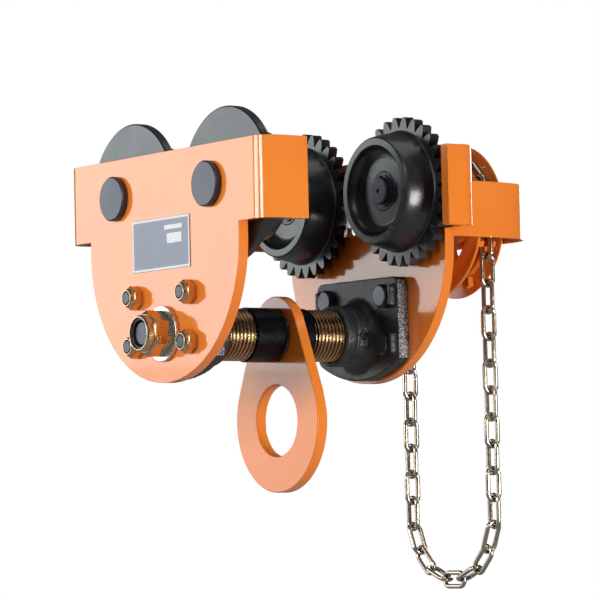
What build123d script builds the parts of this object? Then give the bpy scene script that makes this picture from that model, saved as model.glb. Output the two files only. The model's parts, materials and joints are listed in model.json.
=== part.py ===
"""Hand-geared beam trolley with a turnbuckle spindle that sets its width.

X runs along the beam, Y across it, Z up.  The origin is the middle of the running surface, where
the wheel treads rest.  The idler side is at -Y and the drive side, with the hand wheel, at +Y.
"Distance" always means the distance from the mid-plane Y = 0, outwards on the side that is named.
"""
import os
from math import acos, cos, pi, radians, sin, sqrt, tan

from build123d import *

IDLER, DRIVE = -1, 1
SIDES = {"idler": IDLER, "drive": DRIVE}
FIT = 0.05          # radial clearance of a running fit
SEAT = 0.02         # radial clearance of a fixed seat

# Side plates
PLATE_INNER = 107.5
PLATE_OUTER = 117.5
PLATE_T = PLATE_OUTER - PLATE_INNER
PLATE_TOP = 87.5
WING_BOTTOM = 15.5
WING_HALF = 162.0
BEND_R = 16.0
BODY_R = 122.5
BODY_ARC_Z = 2.5
FLANGE_DEPTH = {"idler": 47.5, "drive": 34.5}

# Wheels and their axles
AXLE_X = 77.2
AXLE_Z = 52.0
AXLE_R = 12.5
HEAD_R = 20.4
HEAD_T = 6.1
WASHER_R = 17.7
WHEEL_OUT = 100.0       # plate side of the wheel
FLANGE_IN = 90.3        # wheel flange, beam side
WHEEL_FRONT = 62.0
TREAD_BACK_R = 54.3
TREAD_FRONT_R = 49.2
FLANGE_R = 69.8
DISH_R = 41.8
DISH_FLOOR = 73.0
BEARING_IN = 79.0
BEARING_OUT = 94.0
BEARING_R = 26.0
BALL_PITCH_R = 19.25
BALL_R = 3.9
BALLS = 9

# Gear teeth on the drive wheels and on the pinion
MODULE = 4.4
GEAR_TEETH = 29
PINION_TEETH = 7
PRESSURE = radians(25)
GEAR_TIP_R = 68.4
GEAR_ROOT_R = 58.6
GEAR_TOOTH = 8.1        # tooth thickness on the pitch circle
PINION_TIP_R = 18.8
PINION_ROOT_R = 9.9
PINION_TOOTH = 5.3
PINION_UNDERCUT_R = 14.8
PINION_ROOT_HALF = 0.12  # half angle of a pinion tooth at its undercut root
GEAR_CENTRES = MODULE * (GEAR_TEETH + PINION_TEETH) / 2
SHAFT_Z = AXLE_Z - sqrt(GEAR_CENTRES**2 - AXLE_X**2)

# Spindle, trunnions and load eye
SPINDLE_Z = -76.0
THREAD_R = 24.0
THREAD_ROOT_R = 21.8
PITCH = 4.0
THREAD_END = 86.5
STUD_R = 12.0
STUD_END = 141.7
NECK_R = 19.0
LAND_HALF = 7.0
SLEEVE_GAP = 7.2        # from the middle of the eye to the face of each sleeve
SLEEVE_OUT = 32.0
SLEEVE_R = 25.0
BOSS_FRONT = 63.0
BOSS_R = 28.8
SET_SCREW_AT = BOSS_FRONT + 20
CASTING_T = 12.0
CASTING_HALF = 64.5
CASTING_TOP = SPINDLE_Z + 52.5
CASTING_ARC_R = BODY_R - 2.5
BOLT_X = 44.1
BOLT_Z = (SPINDLE_Z + 34.7, SPINDLE_Z - 9.3)
BOLT_R = 6.0
BOLT_END = PLATE_OUTER + 12.6
M12_FLATS = 19.0
SPOT_FACE_R = 11.2
M24_FLATS = 36.0
EYE_AT = 7.5            # the eye hangs off the mid-plane, towards the drive side
EYE_HALF = 5.5
EYE_UPPER_R = 35.6
EYE_LOWER_R = 65.6
EYE_HOLE_R = 32.8
EYE_DROP = 78.3

# Hand wheel, its shaft, bracket and chain
WHEEL_NEAR = 186.6
WHEEL_FAR = 216.5
RIM_R = 72.9
RIM_WALL = 3.0
POCKETS = 8
CHAIN_PITCH = 25.0
WIRE_R = 2.2
POCKET_FLOOR_R = 59.2
LINK_HALF_WIDTH = 6.4   # wire centre to link centre
FLAT_LINK_R = 62.3      # centre of a link lying flat in a pocket
EDGE_LINK_R = 63.3      # centre of a link standing on edge between pockets
HANGING_LINKS = 11
SHAFT_R = 12.5
HUB_IN = 179.6
HUB_OUT = 216.0
STRAP_T = 5.0
STRAP_HALF = 25.5
STRAP_OUT = 223.0
STRAP_KNEE = 164.5
STRAP_SPLAY = radians(12.5)
STRAP_CORNER_R = 42.0

os.makedirs("parts", exist_ok=True)


def face_plane(side, distance, x=0.0, z=0.0):
    """Plane parallel to a side plate, facing outwards, with its local y up."""
    return Plane(origin=(x, side * distance, z), x_dir=(-side, 0, 0), z_dir=(0, side, 0))


def turning_plane(side, x, z):
    """Plane for a lathe outline: local x is the radius, local y the distance."""
    return Plane(origin=(x, 0, z), x_dir=(0, 0, 1), z_dir=(-side, 0, 0))


def turning_axis(side, x, z):
    return Axis((x, 0, z), (0, side, 0))


def turned(side, x, z, outline):
    """A turned piece from its (radius, distance) outline."""
    with BuildPart() as piece:
        with BuildSketch(turning_plane(side, x, z)):
            with BuildLine():
                Polyline(*outline, close=True)
            make_face()
        revolve(axis=turning_axis(side, x, z))
    return piece.part


def ring(side, x, z, inner_r, outer_r, start, end, bevel=0.0):
    """A plain ring, or a disc where inner_r is 0, with bevelled outer corners."""
    outline = [(inner_r, start), (outer_r - bevel, start), (outer_r, start + bevel)]
    outline += [(outer_r, end - bevel), (outer_r - bevel, end), (inner_r, end)]
    corners = [point for index, point in enumerate(outline) if point not in outline[:index]]
    return turned(side, x, z, corners)


def group(pieces):
    """Separate solids kept together in one node."""
    with BuildPart() as joined:
        for piece in pieces:
            add(piece)
    return joined.part


def save(part, name):
    part.label = name
    export_step(part, f"parts/{name}.step")


def hexagon(side, x, z, flats, start, end):
    """A hexagonal prism whose outer end has the usual 30 degree chamfer."""
    height = abs(end - start)
    outwards = side if end > start else -side
    plane = Plane(origin=(x, side * start, z), x_dir=(-outwards, 0, 0), z_dir=(0, outwards, 0))
    with BuildPart() as prism:
        with BuildSketch(plane):
            RegularPolygon(radius=flats / 2, side_count=6, major_radius=False, rotation=30)
        extrude(amount=height)
        with BuildSketch(plane):
            Circle(flats * 0.475 + height * sqrt(3))
        with BuildSketch(plane.offset(height)):
            Circle(flats * 0.475)
        loft(mode=Mode.INTERSECT)
    return prism.part


def nylon_nut(side, x, z, flats, hole_r, start, hex_height, height):
    """Hexagon nut with a crimped collar that holds a nylon ring."""
    collar_r = flats * 0.46
    with BuildPart() as nut:
        add(hexagon(side, x, z, flats, start, start + hex_height))
        with BuildSketch(turning_plane(side, x, z)):
            with BuildLine():
                Polyline(
                    (0, start + hex_height - 1),
                    (collar_r, start + hex_height - 1),
                    (collar_r, start + height - 2.2),
                    (collar_r - 1.6, start + height),
                    (0, start + height),
                    close=True,
                )
            make_face()
        revolve(axis=turning_axis(side, x, z))
        with BuildSketch(face_plane(side, start, x, z)):
            Circle(hole_r)
        extrude(amount=height, mode=Mode.SUBTRACT)
        with BuildSketch(face_plane(side, start + hex_height, x, z)):
            Circle(collar_r - 2.2)
        extrude(amount=height, mode=Mode.SUBTRACT)
    return nut.part


def involute_half_angle(radius, teeth, thickness):
    """Half angle of a gear tooth at a radius, from its thickness on the pitch circle."""
    pitch_r = MODULE * teeth / 2
    roll = acos(min(1.0, pitch_r * cos(PRESSURE) / radius))
    return thickness / (2 * pitch_r) + (tan(PRESSURE) - PRESSURE) - (tan(roll) - roll)


def tooth_corners(teeth, thickness, start_r, tip_r, root_r, root_half):
    """Flank of one tooth as (radius, half angle) pairs, from root to tip."""
    flank = [(root_r, root_half)]
    for step in range(5):
        radius = start_r + (tip_r - start_r) * step / 4
        flank.append((radius, involute_half_angle(radius, teeth, thickness)))
    return flank


def gear_points(teeth, flank, phase):
    """The whole toothed outline in local x, y, with one tooth at the phase angle."""
    points = []
    for tooth in range(teeth):
        centre = phase + 2 * pi * tooth / teeth
        for radius, half in flank:
            points.append((radius * cos(centre - half), radius * sin(centre - half)))
        for radius, half in reversed(flank):
            points.append((radius * cos(centre + half), radius * sin(centre + half)))
    return points


def side_plate(name, side):
    """Flat plate with a round lower edge and both wing ends bent inwards."""
    depth = FLANGE_DEPTH[name]
    with BuildPart() as plate:
        with BuildSketch(face_plane(side, PLATE_INNER)):
            with BuildLine():
                Polyline(
                    (BODY_R, BODY_ARC_Z),
                    (BODY_R, PLATE_TOP),
                    (-BODY_R, PLATE_TOP),
                    (-BODY_R, BODY_ARC_Z),
                )
                ThreePointArc((-BODY_R, BODY_ARC_Z), (0, BODY_ARC_Z - BODY_R), (BODY_R, BODY_ARC_Z))
            make_face()
        extrude(amount=PLATE_T)
        with BuildSketch(Plane.XY.offset(WING_BOTTOM)) as wings:
            with Locations((0, side * (PLATE_OUTER - depth / 2))):
                Rectangle(2 * WING_HALF, depth)
            fillet(wings.vertices().group_by(Axis.Y)[-1 if side > 0 else 0], BEND_R)
            with BuildSketch(mode=Mode.SUBTRACT) as hollow:
                with Locations((0, side * (PLATE_INNER - depth / 2))):
                    Rectangle(2 * (WING_HALF - PLATE_T), depth)
                fillet(hollow.vertices().group_by(Axis.Y)[-1 if side > 0 else 0], BEND_R - PLATE_T)
        extrude(amount=PLATE_TOP - WING_BOTTOM)
        with BuildSketch(face_plane(side, PLATE_INNER)):
            with Locations((AXLE_X, AXLE_Z), (-AXLE_X, AXLE_Z)):
                Circle(AXLE_R + SEAT)
            with Locations(*[(x, z) for x in (BOLT_X, -BOLT_X) for z in BOLT_Z]):
                Circle(BOLT_R + 0.4)
            with Locations((0, SPINDLE_Z)):
                Circle(STUD_R + 1)
            if side == DRIVE:
                with Locations((0, SHAFT_Z)):
                    Circle(PINION_TIP_R + 0.7)
        extrude(amount=PLATE_T, mode=Mode.SUBTRACT)
    return plate.part


def trunnion(side):
    """Cast block bolted inside the plate; its bore takes the spindle thread."""
    back = PLATE_INNER
    front = PLATE_INNER - CASTING_T
    shoulder = sqrt(CASTING_ARC_R**2 - CASTING_HALF**2)
    with BuildPart() as block:
        with BuildSketch(face_plane(side, front)) as flange:
            with BuildLine():
                Polyline(
                    (CASTING_HALF, BODY_ARC_Z - shoulder),
                    (CASTING_HALF, CASTING_TOP),
                    (-CASTING_HALF, CASTING_TOP),
                    (-CASTING_HALF, BODY_ARC_Z - shoulder),
                )
                ThreePointArc(
                    (-CASTING_HALF, BODY_ARC_Z - shoulder),
                    (0, BODY_ARC_Z - CASTING_ARC_R),
                    (CASTING_HALF, BODY_ARC_Z - shoulder),
                )
            make_face()
            fillet(flange.vertices(), 9)
        extrude(amount=CASTING_T)
        with BuildSketch(turning_plane(side, 0, SPINDLE_Z)) as boss:
            with BuildLine():
                Polyline(
                    (0, back),
                    (0, BOSS_FRONT),
                    (BOSS_R - 2.5, BOSS_FRONT),
                    (BOSS_R, BOSS_FRONT + 2.5),
                    (BOSS_R, BOSS_FRONT + 11.5),
                )
                ThreePointArc(
                    (BOSS_R, BOSS_FRONT + 11.5),
                    (BOSS_R - 1.3, BOSS_FRONT + 13.8),
                    (BOSS_R, BOSS_FRONT + 16),
                )
                Line((BOSS_R, BOSS_FRONT + 16), (BOSS_R + 0.6, front - 10))
                ThreePointArc((BOSS_R + 0.6, front - 10), (BOSS_R + 2.8, front - 3.4), (BOSS_R + 8, front))
                Polyline((BOSS_R + 8, front), (BOSS_R + 8, back), (0, back))
            make_face()
        revolve(axis=turning_axis(side, 0, SPINDLE_Z))
        with BuildSketch(face_plane(side, front - 5.5)) as lugs:
            with Locations(*[(sx * (BOLT_X + 13.2), z) for sx in (1, -1) for z in BOLT_Z]):
                RectangleRounded(5, 19, 1.5)
        extrude(amount=6)
        with BuildSketch(turning_plane(side, 0, SPINDLE_Z)):
            with BuildLine():
                Polyline(
                    (0, BOSS_FRONT - 1),
                    (THREAD_R + 2, BOSS_FRONT - 1),
                    (THREAD_R + 2, BOSS_FRONT),
                    (THREAD_R + FIT, BOSS_FRONT + 2),
                    (THREAD_R + FIT, back + 1),
                    (0, back + 1),
                    close=True,
                )
            make_face()
        revolve(axis=turning_axis(side, 0, SPINDLE_Z), mode=Mode.SUBTRACT)
        with BuildSketch(face_plane(side, front - 9)):
            with Locations(*[(x, z) for x in (BOLT_X, -BOLT_X) for z in BOLT_Z]):
                Circle(SPOT_FACE_R)
        extrude(amount=9, mode=Mode.SUBTRACT)
        with BuildSketch(face_plane(side, front)):
            with Locations(*[(x, z) for x in (BOLT_X, -BOLT_X) for z in BOLT_Z]):
                Circle(BOLT_R + 0.4)
        extrude(amount=CASTING_T, mode=Mode.SUBTRACT)
        with BuildSketch(Plane.YZ.offset(THREAD_R)):
            with Locations((side * SET_SCREW_AT, SPINDLE_Z)):
                Circle(4 + SEAT)
        extrude(amount=BOSS_R, mode=Mode.SUBTRACT)
    return block.part


def set_screw(side):
    """Socket set screw across the boss, just short of the spindle thread."""
    with BuildPart() as screw:
        with BuildSketch(Plane.YZ.offset(THREAD_R + 0.6)):
            with Locations((side * SET_SCREW_AT, SPINDLE_Z)):
                Circle(4)
        extrude(amount=4.8)
        with BuildSketch(Plane.YZ.offset(THREAD_R + 3)):
            with Locations((side * SET_SCREW_AT, SPINDLE_Z)):
                RegularPolygon(radius=2, side_count=6, major_radius=False)
        extrude(amount=5, mode=Mode.SUBTRACT)
    return screw.part


def trunnion_bolt(side, x, z):
    """Hexagon bolt whose head bears on the inner face of the casting."""
    head = PLATE_INNER - CASTING_T
    shank = ring(side, x, z, 0, BOLT_R, head - 0.5, BOLT_END, bevel=0.9)
    with BuildPart() as bolt:
        add(hexagon(side, x, z, M12_FLATS, head, head - 7))
        add(shank)
    return bolt.part


def axle(side, x):
    """Wheel axle: head outside the plate, circlip groove and centre drilling at its free end."""
    end = DISH_FLOOR - 6.4
    groove = DISH_FLOOR - 2.0
    return turned(side, x, AXLE_Z, [
        (0, end + 6),
        (2, end + 5),
        (2, end),
        (AXLE_R - 1, end),
        (AXLE_R, end + 1),
        (AXLE_R, groove),
        (AXLE_R - 0.9, groove),
        (AXLE_R - 0.9, groove + 1.6),
        (AXLE_R, groove + 1.6),
        (AXLE_R, PLATE_OUTER),
        (HEAD_R, PLATE_OUTER),
        (HEAD_R, PLATE_OUTER + HEAD_T - 1.3),
        (HEAD_R - 1.3, PLATE_OUTER + HEAD_T),
        (0, PLATE_OUTER + HEAD_T),
    ])


def circlip(side, x, z, inner_r, outer_r, start, thickness):
    """Open retaining ring."""
    with BuildPart() as clip:
        add(ring(side, x, z, inner_r, outer_r, start, start + thickness))
        with BuildSketch(face_plane(side, start, x, z)):
            with Locations((0, (inner_r + outer_r) / 2)):
                Rectangle(5, 2 * (outer_r - inner_r))
        extrude(amount=thickness, mode=Mode.SUBTRACT)
    return clip.part


def bearing_race(side, x):
    """Outer ring of the ball bearing with its balls."""
    middle = (BEARING_IN + BEARING_OUT) / 2
    with BuildPart() as race:
        add(ring(side, x, AXLE_Z, 22.0, BEARING_R, BEARING_IN + 0.1, BEARING_OUT, bevel=0.6))
        with BuildSketch(turning_plane(side, x, AXLE_Z)):
            with Locations((BALL_PITCH_R, middle)):
                Circle(BALL_R + 0.04)
        revolve(axis=turning_axis(side, x, AXLE_Z), mode=Mode.SUBTRACT)
        with Locations(face_plane(side, middle, x, AXLE_Z)):
            with PolarLocations(BALL_PITCH_R, BALLS):
                Sphere(BALL_R)
    return race.part


def inner_race(side, x):
    """Inner ring of the ball bearing, seated on the axle."""
    middle = (BEARING_IN + BEARING_OUT) / 2
    with BuildPart() as race:
        add(ring(side, x, AXLE_Z, AXLE_R + SEAT, 16.5, BEARING_IN + 0.1, BEARING_OUT, bevel=0.6))
        with BuildSketch(turning_plane(side, x, AXLE_Z)):
            with Locations((BALL_PITCH_R, middle)):
                Circle(BALL_R + 0.06)
        revolve(axis=turning_axis(side, x, AXLE_Z), mode=Mode.SUBTRACT)
    return race.part


def wheel(side, x, rim_r):
    """Dished cast wheel: crowned conical tread, flange of radius rim_r at the plate side."""
    middle = (FLANGE_IN + WHEEL_FRONT) / 2
    crown_r = (TREAD_BACK_R + TREAD_FRONT_R) / 2 + 0.7
    with BuildPart() as body:
        with BuildSketch(turning_plane(side, x, AXLE_Z)):
            with BuildLine():
                Polyline(
                    (WASHER_R + 0.5, DISH_FLOOR),
                    (WASHER_R + 0.5, DISH_FLOOR + 2.4),
                    (13.3, DISH_FLOOR + 2.4),
                    (13.3, BEARING_IN),
                    (BEARING_R + SEAT, BEARING_IN),
                    (BEARING_R + SEAT, WHEEL_OUT - 1),
                    (BEARING_R + 1, WHEEL_OUT),
                    (rim_r - 1.2, WHEEL_OUT),
                    (rim_r, WHEEL_OUT - 1.2),
                    (rim_r, FLANGE_IN + 1.6),
                    (rim_r - 1.6, FLANGE_IN),
                    (TREAD_BACK_R + 2, FLANGE_IN),
                )
                ThreePointArc(
                    (TREAD_BACK_R + 2, FLANGE_IN),
                    (TREAD_BACK_R + 0.6, FLANGE_IN - 0.6),
                    (TREAD_BACK_R, FLANGE_IN - 2),
                )
                ThreePointArc(
                    (TREAD_BACK_R, FLANGE_IN - 2),
                    (crown_r, middle),
                    (TREAD_FRONT_R, WHEEL_FRONT + 1.5),
                )
                Polyline(
                    (TREAD_FRONT_R, WHEEL_FRONT + 1.5),
                    (TREAD_FRONT_R - 1.5, WHEEL_FRONT),
                    (DISH_R, WHEEL_FRONT),
                    (DISH_R - 1, WHEEL_FRONT + 1),
                )
                ThreePointArc(
                    (DISH_R - 1, WHEEL_FRONT + 1),
                    (DISH_R - 4.5, WHEEL_FRONT + 7.6),
                    (DISH_R - 12, DISH_FLOOR),
                )
                Line((DISH_R - 12, DISH_FLOOR), (WASHER_R + 0.5, DISH_FLOOR))
            make_face()
        revolve(axis=turning_axis(side, x, AXLE_Z))
    return body.part


def geared_wheel(x):
    """Drive wheel: the same casting with gear teeth cut in its flange."""
    towards = 1 if x > 0 else -1
    lean = acos(AXLE_X / GEAR_CENTRES)
    pinion_phase = (lean - pi / 2) / (2 * pi / PINION_TEETH)
    phase = lean + pi - (0.5 - pinion_phase) * 2 * pi / GEAR_TEETH
    flank = tooth_corners(
        GEAR_TEETH, GEAR_TOOTH, GEAR_ROOT_R + 0.8, GEAR_TIP_R, GEAR_ROOT_R,
        involute_half_angle(GEAR_ROOT_R + 0.8, GEAR_TEETH, GEAR_TOOTH) + 0.012,
    )
    points = [(towards * px, py) for px, py in gear_points(GEAR_TEETH, flank, phase)]
    with BuildPart() as geared:
        add(wheel(DRIVE, x, GEAR_ROOT_R - 1))
        with BuildSketch(Plane(origin=(x, WHEEL_OUT, AXLE_Z), x_dir=(1, 0, 0), z_dir=(0, -1, 0))):
            with BuildLine():
                Polyline(*points, close=True)
            make_face()
            Circle(GEAR_ROOT_R - 8, mode=Mode.SUBTRACT)
        extrude(amount=WHEEL_OUT - FLANGE_IN)
    return geared.part


def link_solid():
    """One welded chain link, long along X and flat in XY."""
    half_length = (CHAIN_PITCH + 0.35) / 2 + WIRE_R - LINK_HALF_WIDTH
    with BuildPart() as link:
        with BuildLine():
            Line((-half_length, LINK_HALF_WIDTH), (half_length, LINK_HALF_WIDTH))
            ThreePointArc(
                (half_length, LINK_HALF_WIDTH),
                (half_length + LINK_HALF_WIDTH, 0),
                (half_length, -LINK_HALF_WIDTH),
            )
            Line((half_length, -LINK_HALF_WIDTH), (-half_length, -LINK_HALF_WIDTH))
            ThreePointArc(
                (-half_length, -LINK_HALF_WIDTH),
                (-half_length - LINK_HALF_WIDTH, 0),
                (-half_length, LINK_HALF_WIDTH),
            )
        with BuildSketch(Plane(origin=(0, LINK_HALF_WIDTH, 0), x_dir=(0, 1, 0), z_dir=(1, 0, 0))):
            Circle(WIRE_R)
        sweep(is_frenet=False)
    return link.part


def chain_places():
    """Places of the links: (x, z, direction of the link) round the endless loop."""
    quarter_turns = 2 * POCKETS
    corner = 2 * pi / quarter_turns
    places = []
    for step in range(POCKETS + 1):
        radius = FLAT_LINK_R if step % 2 == 0 else EDGE_LINK_R
        angle = corner * step
        places.append((radius * cos(angle), SHAFT_Z + radius * sin(angle), angle + pi / 2))
    spread = (EDGE_LINK_R - FLAT_LINK_R) / HANGING_LINKS
    fall = [(FLAT_LINK_R + spread * step, SHAFT_Z - step * CHAIN_PITCH, pi / 2)
            for step in range(1, HANGING_LINKS + 1)]
    places += [(-x, z, heading) for x, z, heading in fall]
    low = SHAFT_Z - HANGING_LINKS * CHAIN_PITCH
    for step in range(1, POCKETS):
        radius = FLAT_LINK_R if step % 2 == 1 else EDGE_LINK_R
        angle = pi + corner * step
        places.append((radius * cos(angle), low + radius * sin(angle), angle + pi / 2))
    places += reversed(fall)
    return places


# Idler and drive sides: plates, castings, fasteners, axles and bearings
for side_name, side in SIDES.items():
    bolt_spots = [(x, z) for x in (BOLT_X, -BOLT_X) for z in BOLT_Z]
    axle_spots = (AXLE_X, -AXLE_X)
    save(side_plate(side_name, side), f"{side_name}_plate")
    save(trunnion(side), f"{side_name}_trunnion")
    save(set_screw(side), f"{side_name}_set_screw")
    save(group(trunnion_bolt(side, x, z) for x, z in bolt_spots), f"{side_name}_trunnion_bolts")
    nuts = [nylon_nut(side, x, z, M12_FLATS, BOLT_R + SEAT, PLATE_OUTER, 8.5, 12.4)
            for x, z in bolt_spots]
    save(group(nuts), f"{side_name}_trunnion_nuts")
    inserts = [ring(side, x, z, BOLT_R + SEAT, M12_FLATS * 0.46 - 2.22, PLATE_OUTER + 8.5,
                    PLATE_OUTER + 11.6) for x, z in bolt_spots]
    lock_face = PLATE_OUTER + 4
    inserts.append(ring(side, 0, SPINDLE_Z, STUD_R + FIT, M24_FLATS * 0.46 - 2.22,
                        lock_face + 17, lock_face + 22))
    save(group(inserts), f"{side_name}_nylon_inserts")
    save(ring(side, 0, SPINDLE_Z, STUD_R + 0.5, 25, PLATE_OUTER, lock_face, bevel=0.5),
         f"{side_name}_lock_washer")
    save(nylon_nut(side, 0, SPINDLE_Z, M24_FLATS, STUD_R + FIT, lock_face, 17, 24),
         f"{side_name}_lock_nut")
    save(group(axle(side, x) for x in axle_spots), f"{side_name}_axles")
    spacers = [ring(side, x, AXLE_Z, AXLE_R + SEAT, 17.5, BEARING_OUT, PLATE_INNER)
               for x in axle_spots]
    save(group(spacers), f"{side_name}_axle_spacers")
    save(group(inner_race(side, x) for x in axle_spots), f"{side_name}_inner_races")
    washers = [ring(side, x, AXLE_Z, AXLE_R + SEAT, WASHER_R, DISH_FLOOR - 0.4, DISH_FLOOR + 2,
                    bevel=0.3) for x in axle_spots]
    save(group(washers), f"{side_name}_axle_washers")
    clips = [circlip(side, x, AXLE_Z, AXLE_R - 0.88, AXLE_R + 2.2, DISH_FLOOR - 1.95, 1.5)
             for x in axle_spots]
    save(group(clips), f"{side_name}_axle_circlips")
    for place, x in (("front", AXLE_X), ("rear", -AXLE_X)):
        rolling = wheel(side, x, FLANGE_R) if side == IDLER else geared_wheel(x)
        save(rolling, f"{side_name}_wheel_{place}")
        save(bearing_race(side, x), f"{side_name}_bearing_{place}")
        save(circlip(side, x, AXLE_Z, 22.8, BEARING_R, BEARING_OUT + 0.2, 1.5),
             f"{side_name}_bearing_clip_{place}")

# Rating plate, plain
with BuildPart() as rating_plate:
    with BuildSketch(face_plane(IDLER, PLATE_OUTER)):
        with Locations((-2, 5)):
            RectangleRounded(95, 47, 1)
    extrude(amount=0.6)
save(rating_plate.part, "rating_plate")


# Spindle: stud, thread and neck at each end, and between the necks the land that carries the eye
def spindle_end():
    """(radius, distance) corners from the start of one thread to the tip of its stud."""
    corners = [(NECK_R, SLEEVE_OUT + 0.2), (THREAD_ROOT_R, SLEEVE_OUT + 0.2)]
    start = SLEEVE_OUT + 0.6
    for turn in range(int((THREAD_END - start) / PITCH)):
        foot = start + turn * PITCH
        corners.append((THREAD_ROOT_R, foot + PITCH * 0.10))
        corners.append((THREAD_R, foot + PITCH * 0.42))
        corners.append((THREAD_R, foot + PITCH * 0.58))
        corners.append((THREAD_ROOT_R, foot + PITCH * 0.90))
    corners += [(THREAD_ROOT_R, THREAD_END), (STUD_R, THREAD_END), (STUD_R, STUD_END - 1.5)]
    corners += [(STUD_R - 1.5, STUD_END), (0, STUD_END)]
    return corners


drive_end = spindle_end()
idler_end = [(radius, -distance) for radius, distance in reversed(drive_end)]
land_start, land_end = EYE_AT - LAND_HALF, EYE_AT + LAND_HALF
land = [(NECK_R, land_start), (THREAD_R, land_start), (THREAD_R, land_end), (NECK_R, land_end)]
save(turned(DRIVE, 0, SPINDLE_Z, idler_end + land + drive_end), "spindle")

# Two split sleeves snapped on the necks hold the eye between them
with BuildPart() as spacer_sleeves:
    for sleeve_side in (IDLER, DRIVE):
        sleeve_start = SLEEVE_GAP + sleeve_side * EYE_AT
        add(ring(sleeve_side, 0, SPINDLE_Z, NECK_R + FIT, SLEEVE_R, sleeve_start, SLEEVE_OUT, bevel=0.8))
    with BuildSketch(Plane.XY.offset(SPINDLE_Z)):
        Rectangle(1.6, 2 * SLEEVE_OUT)
    extrude(amount=-SLEEVE_R - 1, mode=Mode.SUBTRACT)
save(spacer_sleeves.part, "spacer_sleeves")

# Load eye
with BuildPart() as eye_plate:
    with BuildSketch(face_plane(DRIVE, EYE_AT - EYE_HALF)) as eye_face:
        with BuildSketch() as lobes:
            with Locations((0, SPINDLE_Z)):
                Circle(EYE_UPPER_R)
            with Locations((0, SPINDLE_Z - EYE_DROP)):
                Circle(EYE_LOWER_R)
            make_hull()
        with Locations((0, SPINDLE_Z)):
            Circle(THREAD_R + FIT, mode=Mode.SUBTRACT)
        with Locations((0, SPINDLE_Z - EYE_DROP)):
            Circle(EYE_HOLE_R, mode=Mode.SUBTRACT)
    extrude(amount=2 * EYE_HALF)
    chamfer(eye_plate.faces().filter_by(Axis.Y).edges(), 0.8)
save(eye_plate.part, "eye_plate")

# Pinion shaft with its seven teeth
pinion_flank = tooth_corners(
    PINION_TEETH, PINION_TOOTH, PINION_UNDERCUT_R, PINION_TIP_R, PINION_ROOT_R, PINION_ROOT_HALF)
with BuildPart() as pinion_shaft:
    with BuildSketch(Plane(origin=(0, WHEEL_OUT + 1, SHAFT_Z), x_dir=(1, 0, 0), z_dir=(0, -1, 0))):
        with BuildLine():
            Polyline(*gear_points(PINION_TEETH, pinion_flank, pi / 2), close=True)
        make_face()
    extrude(amount=WHEEL_OUT - FLANGE_IN + 2)
    with BuildSketch(turning_plane(DRIVE, 0, SHAFT_Z)):
        with BuildLine():
            Polyline(
                (0, FLANGE_IN - 1.5),
                (PINION_ROOT_R - 1, FLANGE_IN - 1.5),
                (PINION_ROOT_R - 1, WHEEL_OUT + 1),
                (SHAFT_R, WHEEL_OUT + 1),
                (SHAFT_R, HUB_IN),
                (11, HUB_IN),
                (11, HUB_OUT),
                (8, HUB_OUT),
                (8, 243),
                (6.8, 244.2),
                (0, 244.2),
                close=True,
            )
        make_face()
    revolve(axis=turning_axis(DRIVE, 0, SHAFT_Z))
    with BuildSketch(Plane.XY.offset(SHAFT_Z + 7.5)):
        with Locations((0, (HUB_IN + HUB_OUT) / 2)):
            Rectangle(6.04, 28)
    extrude(amount=5, mode=Mode.SUBTRACT)
save(pinion_shaft.part, "pinion_shaft")

with BuildPart() as shaft_key:
    with BuildSketch(Plane.XY.offset(SHAFT_Z + 7.5)):
        with Locations((0, (HUB_IN + HUB_OUT) / 2)):
            Rectangle(6, 27.9)
    extrude(amount=6)
save(shaft_key.part, "shaft_key")

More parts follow.
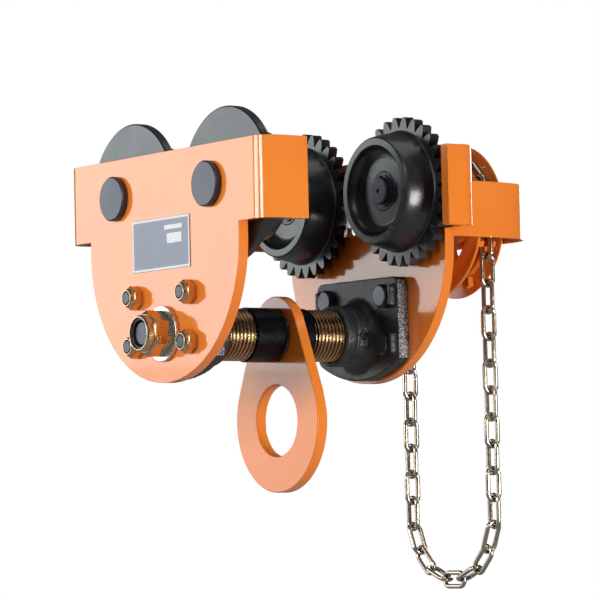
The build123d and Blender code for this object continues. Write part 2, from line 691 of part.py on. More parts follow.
# Hand wheel: hub, web with four windows, rim with flanges and chain pockets
with BuildPart() as handwheel:
    web_mid = (WHEEL_NEAR + WHEEL_FAR) / 2
    with BuildSketch(turning_plane(DRIVE, 0, SHAFT_Z)):
        with BuildLine():
            Polyline(
                (11 + SEAT, HUB_IN + 0.1),
                (20, HUB_IN + 0.1),
                (21, HUB_IN + 1.1),
                (22, web_mid - 3.5),
                (47, web_mid - 3.5),
                (50, WHEEL_NEAR + 3),
                (RIM_R - 6, WHEEL_NEAR),
                (RIM_R - 1, WHEEL_NEAR),
                (RIM_R, WHEEL_NEAR + 1),
                (RIM_R, WHEEL_NEAR + RIM_WALL - 0.6),
                (POCKET_FLOOR_R, web_mid - 9.2),
                (POCKET_FLOOR_R, web_mid - 3.6),
                (53.6, web_mid - 3.6),
                (53.6, web_mid + 3.6),
                (POCKET_FLOOR_R, web_mid + 3.6),
                (POCKET_FLOOR_R, web_mid + 9.2),
                (RIM_R, WHEEL_FAR - RIM_WALL + 0.6),
                (RIM_R, WHEEL_FAR - 1),
                (RIM_R - 1, WHEEL_FAR),
                (RIM_R - 6, WHEEL_FAR),
                (50, WHEEL_FAR - 3),
                (47, web_mid + 3.5),
                (22, web_mid + 3.5),
                (21, HUB_OUT - 1),
                (20, HUB_OUT),
                (11 + SEAT, HUB_OUT),
                close=True,
            )
        make_face()
    revolve(axis=turning_axis(DRIVE, 0, SHAFT_Z))
    with BuildSketch(face_plane(DRIVE, web_mid, 0, SHAFT_Z)):
        with PolarLocations(34.5, 4, start_angle=45):
            SlotOverall(27, 19, rotation=90)
    extrude(amount=5, both=True, mode=Mode.SUBTRACT)
    with BuildSketch(face_plane(DRIVE, web_mid - 9.6, 0, SHAFT_Z)):
        with PolarLocations(64.5, POCKETS, start_angle=180 / POCKETS):
            Trapezoid(9.2, 9, 78, rotation=-90)
    extrude(amount=5.9)
    with BuildSketch(face_plane(DRIVE, web_mid + 3.7, 0, SHAFT_Z)):
        with PolarLocations(64.5, POCKETS, start_angle=180 / POCKETS):
            Trapezoid(9.2, 9, 78, rotation=-90)
    extrude(amount=5.9)
    with BuildSketch(Plane.XY.offset(SHAFT_Z + 7.5)):
        with Locations((0, (HUB_IN + HUB_OUT) / 2)):
            Rectangle(6.04, HUB_OUT - HUB_IN + 2)
    extrude(amount=6.05, mode=Mode.SUBTRACT)
save(handwheel.part, "handwheel")

save(ring(DRIVE, 0, SHAFT_Z, 8 + SEAT, 11, HUB_OUT, 225.6), "clamp_sleeve")
save(ring(DRIVE, 0, SHAFT_Z, 8 + SEAT, 16, 225.6, 228.6, bevel=0.4), "shaft_washer")
with BuildPart() as shaft_nut:
    add(hexagon(DRIVE, 0, SHAFT_Z, 24, 228.6, 241.6))
    with BuildSketch(face_plane(DRIVE, 228.6, 0, SHAFT_Z)):
        Circle(8 + SEAT)
    extrude(amount=14, mode=Mode.SUBTRACT)
save(shaft_nut.part, "shaft_nut")

# Shaft housing on the outer face of the drive plate, with its screws and bushes
HOUSING_BORE_R = PINION_TIP_R + 0.7
HOUSING_SCREW_R = 32.2
with BuildPart() as shaft_housing:
    with BuildSketch(turning_plane(DRIVE, 0, SHAFT_Z)):
        with BuildLine():
            Polyline(
                (HOUSING_BORE_R, PLATE_OUTER),
                (38, PLATE_OUTER),
                (38, PLATE_OUTER + 7),
                (37, PLATE_OUTER + 8),
                (27, PLATE_OUTER + 8),
                (25, PLATE_OUTER + 11),
                (25, 177),
                (24, 178),
                (HOUSING_BORE_R, 178),
                close=True,
            )
        make_face()
    revolve(axis=turning_axis(DRIVE, 0, SHAFT_Z))
    with BuildSketch(face_plane(DRIVE, PLATE_OUTER, 0, SHAFT_Z)):
        with PolarLocations(HOUSING_SCREW_R, 4, start_angle=45):
            Circle(3.2)
    extrude(amount=9, mode=Mode.SUBTRACT)
save(shaft_housing.part, "shaft_housing")

with BuildPart() as housing_screws:
    with BuildSketch(face_plane(DRIVE, PLATE_OUTER + 0.3, 0, SHAFT_Z)):
        with PolarLocations(HOUSING_SCREW_R, 4, start_angle=45):
            Circle(3)
    extrude(amount=8)
    with BuildSketch(face_plane(DRIVE, PLATE_OUTER + 8, 0, SHAFT_Z)):
        with PolarLocations(HOUSING_SCREW_R, 4, start_angle=45):
            Circle(4.6)
    extrude(amount=6)
    with BuildSketch(face_plane(DRIVE, PLATE_OUTER + 11, 0, SHAFT_Z)):
        with PolarLocations(HOUSING_SCREW_R, 4, start_angle=45):
            RegularPolygon(radius=2.5, side_count=6, major_radius=False)
    extrude(amount=4, mode=Mode.SUBTRACT)
save(housing_screws.part, "housing_screws")

bushes = [ring(DRIVE, 0, SHAFT_Z, SHAFT_R + FIT, HOUSING_BORE_R, start, start + 26)
          for start in (PLATE_INNER, 151.5)]
save(group(bushes), "shaft_bushes")


# Strap bracket: runs from the plate round the hand wheel and back, and steadies the shaft's outer end
def strap_run(inset):
    """Corners of the strap's outer face (inset 0) or inner face, along half of its length."""
    knee_x = BODY_R - inset
    knee_y = STRAP_KNEE - inset * tan(STRAP_SPLAY / 2)
    top_y = STRAP_OUT - inset
    return [(knee_x, PLATE_OUTER), (knee_x, knee_y), (knee_x - (top_y - knee_y) * tan(STRAP_SPLAY), top_y)]


with BuildPart() as wheel_bracket:
    with BuildSketch(Plane.XY.offset(SHAFT_Z - STRAP_HALF)) as strap:
        outer_run, inner_run = strap_run(0), strap_run(STRAP_T)
        with BuildLine():
            Polyline(*outer_run, *[(-x, y) for x, y in reversed(outer_run)], close=True)
        make_face()
        fillet(strap.vertices().group_by(Axis.Y)[-1], STRAP_CORNER_R)
        with BuildSketch(mode=Mode.SUBTRACT) as inside:
            with BuildLine():
                Polyline(*inner_run, *[(-x, y) for x, y in reversed(inner_run)], close=True)
            make_face()
            fillet(inside.vertices().group_by(Axis.Y)[-1], STRAP_CORNER_R - STRAP_T)
    extrude(amount=2 * STRAP_HALF)
    with BuildSketch(face_plane(DRIVE, STRAP_OUT - STRAP_T - 1, 0, SHAFT_Z)):
        Circle(14 + SEAT)
    extrude(amount=STRAP_T + 2, mode=Mode.SUBTRACT)
save(wheel_bracket.part, "wheel_bracket")
save(ring(DRIVE, 0, SHAFT_Z, 11 + FIT, 14, STRAP_OUT - STRAP_T - 0.6, STRAP_OUT + 2), "bracket_bush")

# Hand chain: an endless loop of links, each turned a quarter from its neighbours
one_link = link_solid()
with BuildPart() as hand_chain:
    for index, (link_x, link_z, heading) in enumerate(chain_places()):
        along = (cos(heading), 0, sin(heading))
        across = (0, 1, 0)
        flat_normal = (sin(heading), 0, -cos(heading))
        normal = flat_normal if index % 2 == 0 else across
        with Locations(Plane(origin=(link_x, (WHEEL_NEAR + WHEEL_FAR) / 2, link_z), x_dir=along, z_dir=normal)):
            add(one_link)
save(hand_chain.part, "hand_chain")
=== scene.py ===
"""Looks of the geared beam trolley.

Materials, threads, castings, weld beads, rating plate print, light and camera.
"""
import json
import math

import bpy
import bmesh
from mathutils import Matrix, Vector, noise


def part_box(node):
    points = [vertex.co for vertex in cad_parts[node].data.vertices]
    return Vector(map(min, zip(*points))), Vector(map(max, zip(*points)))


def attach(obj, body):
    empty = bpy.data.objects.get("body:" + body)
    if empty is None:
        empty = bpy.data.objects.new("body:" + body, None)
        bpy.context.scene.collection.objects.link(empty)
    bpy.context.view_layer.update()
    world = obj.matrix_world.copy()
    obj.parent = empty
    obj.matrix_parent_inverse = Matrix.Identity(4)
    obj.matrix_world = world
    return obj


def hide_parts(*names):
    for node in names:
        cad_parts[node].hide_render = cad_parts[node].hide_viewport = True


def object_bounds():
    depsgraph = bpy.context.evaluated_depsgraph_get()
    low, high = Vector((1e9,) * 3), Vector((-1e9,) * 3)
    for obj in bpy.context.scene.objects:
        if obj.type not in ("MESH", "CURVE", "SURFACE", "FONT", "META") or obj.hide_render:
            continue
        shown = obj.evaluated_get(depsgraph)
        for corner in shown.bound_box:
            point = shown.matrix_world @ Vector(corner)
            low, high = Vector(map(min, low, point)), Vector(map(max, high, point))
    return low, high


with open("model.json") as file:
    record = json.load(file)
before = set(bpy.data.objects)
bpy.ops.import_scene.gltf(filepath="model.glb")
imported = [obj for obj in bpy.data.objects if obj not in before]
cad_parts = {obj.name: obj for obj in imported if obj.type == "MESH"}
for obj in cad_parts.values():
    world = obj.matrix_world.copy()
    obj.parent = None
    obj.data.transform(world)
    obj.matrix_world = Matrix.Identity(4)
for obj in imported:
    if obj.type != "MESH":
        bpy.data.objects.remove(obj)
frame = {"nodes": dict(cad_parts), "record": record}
cad_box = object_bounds()
nodes = frame["nodes"]

# Places read from the frame, in metres
MM = 0.001
SIGN = {"idler": -1, "drive": 1}
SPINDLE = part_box("spindle")
SPINDLE_Z = (SPINDLE[0].z + SPINDLE[1].z) / 2
THREAD_R = (SPINDLE[1].x - SPINDLE[0].x) / 2
EYE_AT = (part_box("eye_plate")[0].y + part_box("eye_plate")[1].y) / 2
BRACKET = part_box("wheel_bracket")

# Sizes of the spindle, as in the design
THREAD_DEPTH = 2.3 * MM
THREAD_PITCH = 4 * MM
THREAD_START, THREAD_END = 32.2 * MM, 86.5 * MM
STUD_R, STUD_END = 12 * MM, SPINDLE[1].y
STUD_DEPTH = 1.5 * MM
STUD_PITCH = 3 * MM
NECK_R = 19 * MM
LAND_HALF = 7 * MM

# Fineness of the meshes
WELD_DISTANCE = 0.002 * MM
CAD_CORNER = 32         # degrees; sharper corners stay crisp
THREAD_CORNER = 40
BEAD_SIDES = 10
BEAD_STEPS = 4          # rings along each ripple


# ---------------------------------------------------------------- materials
class Graph:
    """Short-hand for building one node material."""

    def __init__(self, name):
        self.material = bpy.data.materials.new(name)
        self.material.use_nodes = True
        self.tree = self.material.node_tree
        self.shader = self.tree.nodes["Principled BSDF"]
        self.coords = self.node("ShaderNodeTexCoord").outputs["Object"]

    def node(self, kind, **settings):
        made = self.tree.nodes.new(kind)
        for key, value in settings.items():
            setattr(made, key, value)
        return made

    def link(self, source, target):
        self.tree.links.new(source, target)

    def noise(self, scale, detail=4.0, roughness=0.55, stretch=None):
        made = self.node("ShaderNodeTexNoise")
        made.inputs["Scale"].default_value = scale
        made.inputs["Detail"].default_value = detail
        made.inputs["Roughness"].default_value = roughness
        source = self.coords
        if stretch:
            mapping = self.node("ShaderNodeMapping")
            mapping.inputs["Scale"].default_value = stretch
            self.link(self.coords, mapping.inputs["Vector"])
            source = mapping.outputs["Vector"]
        self.link(source, made.inputs["Vector"])
        return made.outputs["Fac"]

    def ramp(self, source, low, high, start, end):
        """Map source from the range low..high to start..end, clamped."""
        made = self.node("ShaderNodeMapRange")
        for key, value in (("From Min", low), ("From Max", high), ("To Min", start), ("To Max", end)):
            made.inputs[key].default_value = value
        self.link(source, made.inputs["Value"])
        return made.outputs["Result"]

    def math(self, operation, first, second):
        made = self.node("ShaderNodeMath", operation=operation)
        for socket, value in zip(made.inputs, (first, second)):
            if isinstance(value, (int, float)):
                socket.default_value = value
            else:
                self.link(value, socket)
        return made.outputs[0]

    def mix(self, factor, first, second):
        made = self.node("ShaderNodeMix", data_type="RGBA")
        for socket, value in ((made.inputs[0], factor), (made.inputs[6], first), (made.inputs[7], second)):
            if isinstance(value, (tuple, list)):
                socket.default_value = (*value[:3], 1.0)
            elif isinstance(value, (int, float)):
                socket.default_value = value
            else:
                self.link(value, socket)
        return made.outputs[2]

    def edge(self, radius, low=0.02, high=0.35):
        """1 where the surface turns within radius, 0 on flat ground."""
        bevel = self.node("ShaderNodeBevel", samples=6)
        bevel.inputs["Radius"].default_value = radius
        geometry = self.node("ShaderNodeNewGeometry")
        dot = self.node("ShaderNodeVectorMath", operation="DOT_PRODUCT")
        self.link(bevel.outputs["Normal"], dot.inputs[0])
        self.link(geometry.outputs["Normal"], dot.inputs[1])
        return self.ramp(self.math("SUBTRACT", 1.0, dot.outputs["Value"]), low, high, 0.0, 1.0)

    def shade_in_corners(self, distance):
        """Mask for painted shade: 1 deep in corners, 0 in the open."""
        occlusion = self.node("ShaderNodeAmbientOcclusion", samples=6)
        occlusion.inputs["Distance"].default_value = distance
        return self.ramp(occlusion.outputs["AO"], 0.35, 0.85, 1.0, 0.0)

    def bump(self, height, strength, distance, round_edges=0.0):
        made = self.node("ShaderNodeBump")
        made.inputs["Strength"].default_value = strength
        made.inputs["Distance"].default_value = distance
        self.link(height, made.inputs["Height"])
        if round_edges:
            bevel = self.node("ShaderNodeBevel", samples=6)
            bevel.inputs["Radius"].default_value = round_edges
            self.link(bevel.outputs["Normal"], made.inputs["Normal"])
        self.link(made.outputs["Normal"], self.shader.inputs["Normal"])

    def set(self, **values):
        for key, value in values.items():
            socket = self.shader.inputs[key.replace("_", " ")]
            if isinstance(value, (tuple, list)):
                socket.default_value = (*value[:3], 1.0)
            elif isinstance(value, (int, float)):
                socket.default_value = value
            else:
                self.link(value, socket)
        return self


def orange_paint():
    """Thick gloss enamel: orange peel, slight colour drift, thin paint on edges, painted shade in corners."""
    g = Graph("orange_paint")
    drift = g.ramp(g.noise(9, 3), 0.3, 0.7, 0.0, 1.0)
    colour = g.mix(drift, (0.90, 0.222, 0.024), (0.96, 0.270, 0.036))
    colour = g.mix(g.math("MULTIPLY", g.edge(0.9 * MM), 0.55), colour, (0.86, 0.16, 0.012))
    # Painted shade: dark red-brown deep in corners and gaps, from the occlusion mask.
    colour = g.mix(g.math("MULTIPLY", g.shade_in_corners(12 * MM), 0.4), colour, (0.42, 0.075, 0.012))
    scuffs = g.ramp(g.noise(60, 8, 0.7, (1, 1, 6)), 0.62, 0.75, 0.0, 1.0)
    rough = g.math("ADD", g.ramp(g.noise(35, 5), 0.3, 0.7, 0.10, 0.17), g.math("MULTIPLY", scuffs, 0.12))
    g.set(Base_Color=colour, Roughness=rough, IOR=1.5, Coat_Weight=0.6, Coat_Roughness=0.06, Coat_IOR=1.5)
    peel = g.math("ADD", g.noise(420, 2, 0.4), g.math("MULTIPLY", g.noise(60, 2, 0.4), 1.4))
    g.bump(peel, 0.10, 0.25 * MM, round_edges=0.8 * MM)
    return g.material


def black_casting():
    """Sand-cast block under black paint: pitted skin, with a painted glint as light grey speckle on the rough
    side faces.
    """
    g = Graph("black_casting")
    grain = g.noise(650, 5, 0.75)
    lumps = g.noise(140, 4, 0.6)
    sideways = g.node("ShaderNodeAttribute", attribute_name="sand_glint_side").outputs["Fac"]
    colour = g.mix(g.ramp(lumps, 0.35, 0.7, 0.0, 1.0), (0.015, 0.015, 0.017), (0.038, 0.039, 0.043))
    # Painted glint: light grey speckle on the rough side faces stands in for highlights off the sand skin.
    sand_glint = g.math("MULTIPLY", sideways, g.ramp(grain, 0.46, 0.60, 0.0, 1.0))
    colour = g.mix(g.math("MULTIPLY", sand_glint, 0.9), colour, (0.74, 0.73, 0.73))
    g.set(Base_Color=colour, Roughness=g.ramp(grain, 0.3, 0.7, 0.32, 0.50), IOR=1.5)
    height = g.math("ADD", g.math("MULTIPLY", grain, g.ramp(sideways, 0, 1, 0.45, 2.6)), lumps)
    g.bump(height, 0.6, 0.6 * MM)
    return g.material


def wheel_iron(name, base, rough_low, rough_high, coat):
    """Cast wheel, turned on the tread, under thin black lacquer."""
    g = Graph(name)
    grain = g.noise(520, 5, 0.7)
    blotch = g.noise(45, 5, 0.6)
    colour = g.mix(g.ramp(blotch, 0.3, 0.7, 0.0, 1.0), base, tuple(1.7 * c for c in base))
    colour = g.mix(g.math("MULTIPLY", g.edge(0.8 * MM), 0.5), colour, (0.20, 0.20, 0.20))
    # Painted shade: near black deep in corners and tooth gaps, from the occlusion mask.
    colour = g.mix(g.math("MULTIPLY", g.shade_in_corners(6 * MM), 0.6), colour, (0.006, 0.006, 0.006))
    rough = g.ramp(blotch, 0.3, 0.7, rough_low, rough_high)
    g.set(Base_Color=colour, Metallic=0.2, IOR=1.5, Roughness=rough,
          Coat_Weight=coat, Coat_Roughness=0.21, Coat_IOR=1.5)
    g.bump(g.math("ADD", grain, g.math("MULTIPLY", blotch, 0.8)), 0.30, 0.25 * MM, round_edges=0.7 * MM)
    return g.material


def plated(name, tints, rough_low, rough_high, corner_shade=0.5):
    """Zinc plating whose colour drifts between two tints, darkened by painted shade in the corners."""
    g = Graph(name)
    drift = g.ramp(g.noise(130, 3, 0.6), 0.35, 0.68, 0.0, 1.0)
    colour = g.mix(drift, tints[0], tints[1])
    colour = g.mix(g.ramp(g.noise(55, 2), 0.5, 0.72, 0.0, 0.5), colour, tints[2])
    # Painted shade: darker plating deep in corners and thread roots, from the occlusion mask.
    colour = g.mix(g.math("MULTIPLY", g.shade_in_corners(3 * MM), corner_shade), colour, tuple(0.18 * c for c in tints[0]))
    rough = g.ramp(g.noise(300, 4), 0.3, 0.7, rough_low, rough_high)
    g.set(Base_Color=colour, Metallic=1.0, Roughness=rough)
    g.bump(g.noise(1500, 3, 0.6), 0.12, 0.1 * MM, round_edges=0.35 * MM)
    return g.material


def dark_moulding(name, base, rough_low, rough_high, ior=1.5):
    """Black nylon, rubbery sleeve or blackened steel."""
    g = Graph(name)
    mottle = g.noise(220, 5, 0.65)
    colour = g.mix(g.ramp(mottle, 0.35, 0.7, 0.0, 1.0), base, tuple(2.0 * c for c in base))
    colour = g.mix(g.math("MULTIPLY", g.edge(0.5 * MM), 0.4), colour, (0.10, 0.10, 0.10))
    g.set(Base_Color=colour, Roughness=g.ramp(mottle, 0.3, 0.7, rough_low, rough_high), IOR=ior)
    g.bump(mottle, 0.15, 0.12 * MM, round_edges=0.4 * MM)
    return g.material


def label_face():
    """Satin printed face of the rating plate."""
    g = Graph("label")
    fade = g.ramp(g.noise(25, 4), 0.3, 0.7, 0.0, 1.0)
    colour = g.mix(fade, (0.215, 0.235, 0.300), (0.250, 0.275, 0.342))
    g.set(Base_Color=colour, Roughness=g.ramp(g.noise(80, 4), 0.3, 0.7, 0.28, 0.4), IOR=1.45)
    g.bump(g.noise(500, 3), 0.05, 0.05 * MM)
    return g.material


def label_ink():
    """White print, slightly worn."""
    g = Graph("label_ink")
    wear = g.ramp(g.noise(240, 6, 0.7), 0.3, 0.72, 0.0, 1.0)
    colour = g.mix(wear, (0.86, 0.87, 0.88), (0.72, 0.73, 0.75))
    g.set(Base_Color=colour, Roughness=g.ramp(wear, 0, 1, 0.35, 0.5))
    g.bump(g.noise(600, 3), 0.05, 0.05 * MM)
    return g.material


MATERIALS = {
    "orange_paint": orange_paint(),
    "black_casting": black_casting(),
    "wheel_iron": wheel_iron("wheel_iron", (0.014, 0.015, 0.018), 0.25, 0.36, 0.45),
    "dark_steel": wheel_iron("dark_steel", (0.028, 0.029, 0.046), 0.30, 0.42, 0.22),
    "black_steel": dark_moulding("black_steel", (0.012, 0.012, 0.013), 0.28, 0.42),
    "yellow_zinc": plated(
        "yellow_zinc", ((0.74, 0.60, 0.36), (0.66, 0.46, 0.27), (0.72, 0.62, 0.46)), 0.16, 0.30),
    "spindle_zinc": plated(
        "spindle_zinc", ((0.62, 0.49, 0.29), (0.52, 0.34, 0.21), (0.66, 0.56, 0.38)), 0.16, 0.28, 0.8),
    "bright_zinc": plated(
        "bright_zinc", ((0.74, 0.75, 0.76), (0.66, 0.67, 0.69), (0.78, 0.78, 0.80)), 0.20, 0.34),
    "chain_zinc": plated(
        "chain_zinc", ((0.60, 0.52, 0.38), (0.55, 0.50, 0.46), (0.66, 0.62, 0.52)), 0.14, 0.28, 0.7),
    "plain_steel": plated(
        "plain_steel", ((0.55, 0.55, 0.56), (0.48, 0.48, 0.50), (0.60, 0.59, 0.58)), 0.18, 0.32),
    "bronze": plated(
        "bronze", ((0.70, 0.45, 0.20), (0.62, 0.38, 0.17), (0.74, 0.50, 0.26)), 0.22, 0.36),
    "nylon": dark_moulding("nylon", (0.020, 0.022, 0.027), 0.35, 0.5),
    "black_sleeve": dark_moulding("black_sleeve", (0.003, 0.003, 0.004), 0.20, 0.30, 1.28),
    "label": label_face(),
    "label_ink": label_ink(),
}


def shade(obj, degrees):
    """Smooth shading, with corners sharper than the angle kept crisp."""
    if "custom_normal" in obj.data.attributes:
        obj.data.attributes.remove(obj.data.attributes["custom_normal"])
    obj.data.shade_smooth()
    weld = obj.modifiers.new("weld", "WELD")
    weld.merge_threshold = WELD_DISTANCE
    split = obj.modifiers.new("corners", "EDGE_SPLIT")
    split.split_angle = math.radians(degrees)
    level = obj.modifiers.new("flat_faces_true", "WEIGHTED_NORMAL")
    level.mode, level.weight = "FACE_AREA", 50


for part in frame["record"]["subparts"]:
    obj = nodes[part["node"]]
    obj.data.materials.clear()
    obj.data.materials.append(MATERIALS[part["material_slot"]])
    shade(obj, CAD_CORNER)


# ---------------------------------------------------------------- pieces
def piece(name, mesh, material, body, slot, *stands_for, smooth=True):
    """Put a finished mesh in the scene as a piece of the object."""
    obj = bpy.data.objects.new(name, mesh)
    bpy.context.scene.collection.objects.link(obj)
    mesh.materials.append(MATERIALS[material])
    if smooth:
        mesh.shade_smooth()
    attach(obj, body)
    if stands_for:
        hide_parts(*stands_for)
    return obj


def lathe(profile, segments=96):
    """A closed lathe shape about Z from (radius, height) pairs that start and end on the axis."""
    made = bmesh.new()
    rings = []
    for radius, height in profile:
        if radius < 1e-7:
            rings.append([made.verts.new((0, 0, height))])
            continue
        angles = [2 * math.pi * step / segments for step in range(segments)]
        rings.append([made.verts.new((radius * math.cos(a), radius * math.sin(a), height)) for a in angles])
    for low, high in zip(rings, rings[1:]):
        for step in range(segments):
            after = (step + 1) % segments
            if len(low) == 1:
                made.faces.new((low[0], high[after], high[step]))
            elif len(high) == 1:
                made.faces.new((low[step], low[after], high[0]))
            else:
                made.faces.new((low[step], low[after], high[after], high[step]))
    return made


def thread_radius(phase, crest, root):
    """Radius of a rounded 60 degree thread at a phase of its pitch, 0 to 1."""
    height = min(1.0, max(0.0, 1.357 * (1 - abs(2 * phase - 1)) - 0.14))
    return root + (crest - root) * (height * height * (3 - 2 * height))


def threaded_rod(crest, root, start, end, pitch, hand, segments=96, steps=14):
    """Helical thread along Z from start to end, run out at both ends."""
    made = bmesh.new()
    count = max(2, int(round((end - start) / pitch * steps)))
    rings = []
    for row in range(count + 1):
        height = start + (end - start) * row / count
        fade = min(1.0, (height - start) / (0.6 * pitch), (end - height) / (0.6 * pitch))
        ring = []
        for step in range(segments):
            angle = 2 * math.pi * step / segments
            phase = (height / pitch - hand * step / segments) % 1.0
            radius = root + (thread_radius(phase, crest, root) - root) * max(0.0, fade)
            ring.append(made.verts.new((radius * math.cos(angle), radius * math.sin(angle), height)))
        rings.append(ring)
    for low, high in zip(rings, rings[1:]):
        for step in range(segments):
            after = (step + 1) % segments
            made.faces.new((low[step], low[after], high[after], high[step]))
    made.faces.new(list(reversed(rings[0])))
    made.faces.new(rings[-1])
    return made


def finish_mesh(made, name):
    """Turn a bmesh into a mesh with its faces outwards."""
    bmesh.ops.recalc_face_normals(made, faces=made.faces)
    mesh = bpy.data.meshes.new(name)
    made.to_mesh(mesh)
    made.free()
    return mesh


def lay_outwards(made, side):
    """Lay a shape built along Z outwards along the spindle's axis on one side."""
    sign = SIGN[side]
    place = Matrix(((-sign, 0, 0, 0), (0, 0, sign, 0), (0, 1, 0, SPINDLE_Z), (0, 0, 0, 1)))
    bmesh.ops.transform(made, matrix=place, verts=made.verts)
    return made


def join(*parts):
    """One bmesh from several."""
    whole = bmesh.new()
    for part in parts:
        mesh = bpy.data.meshes.new("part")
        part.to_mesh(mesh)
        part.free()
        whole.from_mesh(mesh)
        bpy.data.meshes.remove(mesh)
    return whole


def build_spindle():
    """The turnbuckle spindle with its left-hand and right-hand threads."""
    threads, studs = [], []
    for side, hand in (("idler", -1), ("drive", 1)):
        thread = threaded_rod(THREAD_R, THREAD_R - THREAD_DEPTH, THREAD_START, THREAD_END, THREAD_PITCH, hand)
        threads.append(lay_outwards(thread, side))
        stud_root = STUD_R - STUD_DEPTH
        stud = threaded_rod(STUD_R, stud_root, THREAD_END - 1 * MM, STUD_END - 1.2 * MM, STUD_PITCH, 1, 64, 10)
        tip = lathe([(0, STUD_END - 3 * MM), (stud_root, STUD_END - 3 * MM), (stud_root, STUD_END - 0.6 * MM),
                     (stud_root - 0.6 * MM, STUD_END), (0, STUD_END)], 64)
        studs.append(lay_outwards(join(stud, tip), side))
    low, high, bevel = EYE_AT - LAND_HALF, EYE_AT + LAND_HALF, 0.6 * MM
    inside = THREAD_START + 1 * MM
    middle = lathe([(0, -inside), (NECK_R, -inside), (NECK_R, low), (THREAD_R - bevel, low),
                    (THREAD_R, low + bevel), (THREAD_R, high - bevel), (THREAD_R - bevel, high),
                    (NECK_R, high), (NECK_R, inside), (0, inside)])
    lay_outwards(middle, "drive")
    mesh = finish_mesh(join(*threads, middle), "spindle_threaded")
    shade(piece("spindle_threaded", mesh, "spindle_zinc", "spindle", "yellow_zinc", "spindle"), THREAD_CORNER)
    mesh = finish_mesh(join(*studs), "spindle_studs")
    shade(piece("spindle_studs", mesh, "dark_steel", "spindle", "yellow_zinc", "spindle"), THREAD_CORNER)


def build_label():
    """White border and plain bars in place of any lettering."""
    low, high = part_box("rating_plate")
    face_y = low.y
    lift = 0.12 * MM
    made = bmesh.new()

    def bar(x0, x1, z0, z1):
        corners = [(x0, z0), (x1, z0), (x1, z1), (x0, z1)]
        front = [made.verts.new((x, face_y - lift, z)) for x, z in corners]
        back = [made.verts.new((x, face_y + lift, z)) for x, z in corners]
        made.faces.new(front)
        made.faces.new(list(reversed(back)))
        for step in range(4):
            after = (step + 1) % 4
            made.faces.new((front[after], front[step], back[step], back[after]))

    wide, inset = 1.9 * MM, 0.4 * MM
    x0, x1, z0, z1 = low.x + inset, high.x - inset, low.z + inset, high.z - inset
    bar(x0, x1, z1 - wide, z1)
    bar(x0, x1, z0, z0 + wide)
    bar(x0, x0 + wide, z0 + wide, z1 - wide)
    bar(x1 - wide, x1, z0 + wide, z1 - wide)
    right = x1 - 12 * MM
    bar(right - 29 * MM, right, z1 - 11 * MM, z1 - 7 * MM)
    bar(right - 25 * MM, right - 1 * MM, z1 - 23.5 * MM, z1 - 14.5 * MM)
    mesh = finish_mesh(made, "rating_plate_print")
    piece("rating_plate_print", mesh, "label_ink", "idler_side", "label", smooth=False)


def build_casting(side):
    """The trunnion with a sand-cast skin: softened corners and a shallow uneven surface."""
    source = nodes[f"{side}_trunnion"]
    temporary = bpy.data.objects.new("casting_source", source.data.copy())
    bpy.context.scene.collection.objects.link(temporary)
    temporary.modifiers.new("weld", "WELD").merge_threshold = WELD_DISTANCE
    remesh = temporary.modifiers.new("remesh", "REMESH")
    remesh.mode = "VOXEL"
    remesh.voxel_size = 1.0 * MM
    relax = temporary.modifiers.new("relax", "SMOOTH")
    relax.factor, relax.iterations = 0.5, 4
    evaluated = temporary.evaluated_get(bpy.context.evaluated_depsgraph_get())
    mesh = bpy.data.meshes.new_from_object(evaluated)
    bpy.data.objects.remove(temporary)
    mesh.materials.clear()
    sign = SIGN[side]
    # Rough side faces of the flange: they get a stronger bump and the light grey speckle of painted glint.
    sand_glint_side = mesh.attributes.new("sand_glint_side", "FLOAT", "POINT")
    edge_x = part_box(f"{side}_trunnion")[1].x - 2 * MM
    for vertex in mesh.vertices:
        at, normal = vertex.co.copy(), vertex.normal.copy()
        sand_glint_side.data[vertex.index].value = 1.0 if abs(at.x) > edge_x and abs(normal.x) > 0.6 else 0.0
        from_bore = math.hypot(at.x, at.z - SPINDLE_Z) - THREAD_R
        against_plate = normal.y * sign > 0.5
        if from_bore < 1.5 * MM or against_plate:
            continue
        slow = noise.noise(at * 60 + Vector((7.0, 0, sign)))
        quick = noise.noise(at * 330)
        on_edge = 1 - abs(normal.y)
        vertex.co = at + normal * (0.30 * slow + (0.10 + 0.22 * on_edge) * quick - 0.15) * MM
    piece(f"{side}_casting", mesh, "black_casting", f"{side}_side", "black_casting", f"{side}_trunnion")


def weld_bead(name, start, end, towards, radius, body):
    """A rippled fillet weld from start to end, bulging in the towards direction."""
    length = (end - start).length
    along = (end - start).normalized()
    out = towards.normalized()
    side = along.cross(out)
    ripples = max(6, int(length / (1.3 * MM)))
    made = bmesh.new()
    rings = []
    for step in range(ripples * BEAD_STEPS + 1):
        share = step / (ripples * BEAD_STEPS)
        uneven = noise.noise(Vector((share * 9, radius * 900, 0)))
        wave = 1 + 0.10 * abs(math.sin(math.pi * share * ripples)) + 0.06 * uneven
        taper = min(1.0, 6 * share + 0.25, 6 * (1 - share) + 0.25)
        centre = start + along * (length * share)
        ring = []
        reach = radius * wave * taper
        for corner in range(BEAD_SIDES):
            angle = 2 * math.pi * corner / BEAD_SIDES
            offset = out * (reach * math.cos(angle)) + side * (reach * math.sin(angle))
            ring.append(made.verts.new(centre + offset))
        rings.append(ring)
    for low, high in zip(rings, rings[1:]):
        for corner in range(BEAD_SIDES):
            after = (corner + 1) % BEAD_SIDES
            made.faces.new((low[corner], low[after], high[after], high[corner]))
    made.faces.new(list(reversed(rings[0])))
    made.faces.new(rings[-1])
    piece(name, finish_mesh(made, name), "orange_paint", body, "orange_paint")


def build_welds():
    """Fillet welds along both feet of the strap bracket."""
    low, high = BRACKET
    face = low.y
    for name, sign in (("front", 1), ("rear", -1)):
        inner_x = sign * (high.x - 5 * MM)
        weld_bead(f"bracket_weld_{name}", Vector((inner_x, face, low.z + 2 * MM)),
                  Vector((inner_x, face, high.z - 2 * MM)), Vector((-sign, 1, 0)), 3.0 * MM, "drive_side")


build_spindle()
build_label()
build_casting("idler")
build_casting("drive")
build_welds()


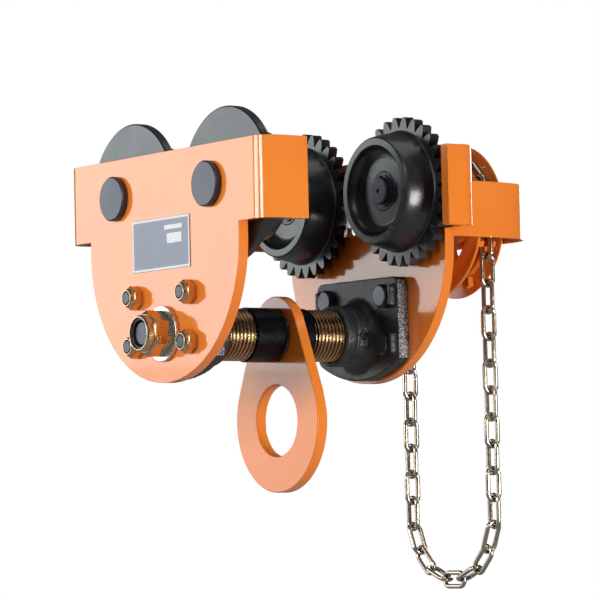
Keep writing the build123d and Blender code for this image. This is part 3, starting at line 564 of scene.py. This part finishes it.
# ---------------------------------------------------------------- floor, light and camera
def floor():
    """Pale floor that fades into the pale surroundings away from the object."""
    made = bmesh.new()
    bmesh.ops.create_circle(made, cap_ends=True, radius=9, segments=96)
    mesh = bpy.data.meshes.new("floor")
    made.to_mesh(mesh)
    made.free()
    obj = bpy.data.objects.new("floor", mesh)
    obj.location.z = cad_box[0].z - 0.12
    bpy.context.scene.collection.objects.link(obj)
    g = Graph("floor_pale")
    g.set(Base_Color=g.mix(g.noise(3, 4), (0.90, 0.90, 0.90), (0.93, 0.93, 0.93)), Roughness=0.7)
    distance = g.node("ShaderNodeVectorMath", operation="LENGTH")
    g.link(g.coords, distance.inputs[0])
    seen = g.ramp(g.node("ShaderNodeLightPath").outputs["Is Camera Ray"], 0, 1, 0.4, 1.0)
    shown = g.math("MULTIPLY", g.ramp(distance.outputs["Value"], 0.35, 1.6, 0.75, 0.0), seen)
    clear = g.node("ShaderNodeBsdfTransparent")
    blend = g.node("ShaderNodeMixShader")
    g.link(shown, blend.inputs[0])
    g.link(clear.outputs[0], blend.inputs[1])
    g.link(g.shader.outputs[0], blend.inputs[2])
    g.link(blend.outputs[0], g.tree.nodes["Material Output"].inputs["Surface"])
    mesh.materials.append(g.material)


def softbox(name, place, width, height, radiance, tint=(1, 1, 1)):
    """Rectangular softbox at a place measured from the object's middle, aimed at the object."""
    light = bpy.data.lights.new(name, "AREA")
    light.shape = "RECTANGLE"
    light.size, light.size_y = width, height
    light.energy = radiance * width * height * math.pi
    light.color = tint
    obj = bpy.data.objects.new(name, light)
    obj.location = CENTRE + Vector(place)
    obj.rotation_mode = "QUATERNION"
    obj.rotation_quaternion = Vector(place).to_track_quat("Z", "Y")
    bpy.context.scene.collection.objects.link(obj)


def surroundings():
    """White backdrop for the camera, dimmer where it only lights the object."""
    world = bpy.data.worlds.new("studio")
    bpy.context.scene.world = world
    world.use_nodes = True
    tree = world.node_tree
    back = tree.nodes["Background"]
    back.inputs["Color"].default_value = (1.0, 1.0, 1.0, 1.0)
    path = tree.nodes.new("ShaderNodeLightPath")
    level = tree.nodes.new("ShaderNodeMapRange")
    level.inputs["To Min"].default_value = AMBIENT
    level.inputs["To Max"].default_value = 1.0
    tree.links.new(path.outputs["Is Camera Ray"], level.inputs["Value"])
    tree.links.new(level.outputs["Result"], back.inputs["Strength"])


def camera():
    """Long lens, seen from just below the spindle."""
    data = bpy.data.cameras.new("camera")
    data.sensor_width = 36
    data.lens = LENS
    obj = bpy.data.objects.new("camera", data)
    turn = Matrix((CAMERA_RIGHT, CAMERA_UP, CAMERA_BACK)).transposed()
    obj.matrix_world = Matrix.Translation(CAMERA_AT) @ turn.to_4x4()
    data.clip_end = 100
    bpy.context.scene.collection.objects.link(obj)
    bpy.context.scene.camera = obj


CENTRE = (cad_box[0] + cad_box[1]) / 2
AMBIENT = 0.09
COOL = (0.93, 1.0, 1.01)
LENS = 218.67
AZIMUTH, ELEVATION, ROLL = (math.radians(a) for a in (55.137, -3.721, -1.351))
CAMERA_BACK = Vector((math.sin(AZIMUTH) * math.cos(ELEVATION), -math.cos(AZIMUTH) * math.cos(ELEVATION),
                      math.sin(ELEVATION)))
LEVEL_RIGHT = Vector((math.cos(AZIMUTH), math.sin(AZIMUTH), 0))
CAMERA_RIGHT = Matrix.Rotation(ROLL, 3, CAMERA_BACK) @ LEVEL_RIGHT
CAMERA_UP = CAMERA_BACK.cross(CAMERA_RIGHT)
CAMERA_AT = Vector((2.74601, -1.88168, -0.26067))

floor()
surroundings()
softbox("wall_left", (-1.39, -0.97, 0.35), 0.85, 0.58, 3.1, COOL)
softbox("wall_left_low", (-1.39, -0.97, -0.15), 0.85, 0.42, 1.75, COOL)
softbox("key_front", (-0.42, -1.65, 0.24), 0.8, 0.44, 8.6)
softbox("strip_front", (0.52, -1.62, 0.42), 0.42, 0.56, 12.0)
softbox("fill_right", (1.45, 0.33, -0.28), 0.42, 0.60, 21.5)
softbox("fill_high", (1.25, -0.55, 1.10), 0.6, 0.6, 2.4)
softbox("top", (0.15, 0.15, 1.50), 1.0, 1.0, 1.0)
softbox("back", (-0.70, 1.45, 0.45), 1.0, 0.8, 3.6)
camera()
bpy.context.scene.view_settings.view_transform = "Standard"
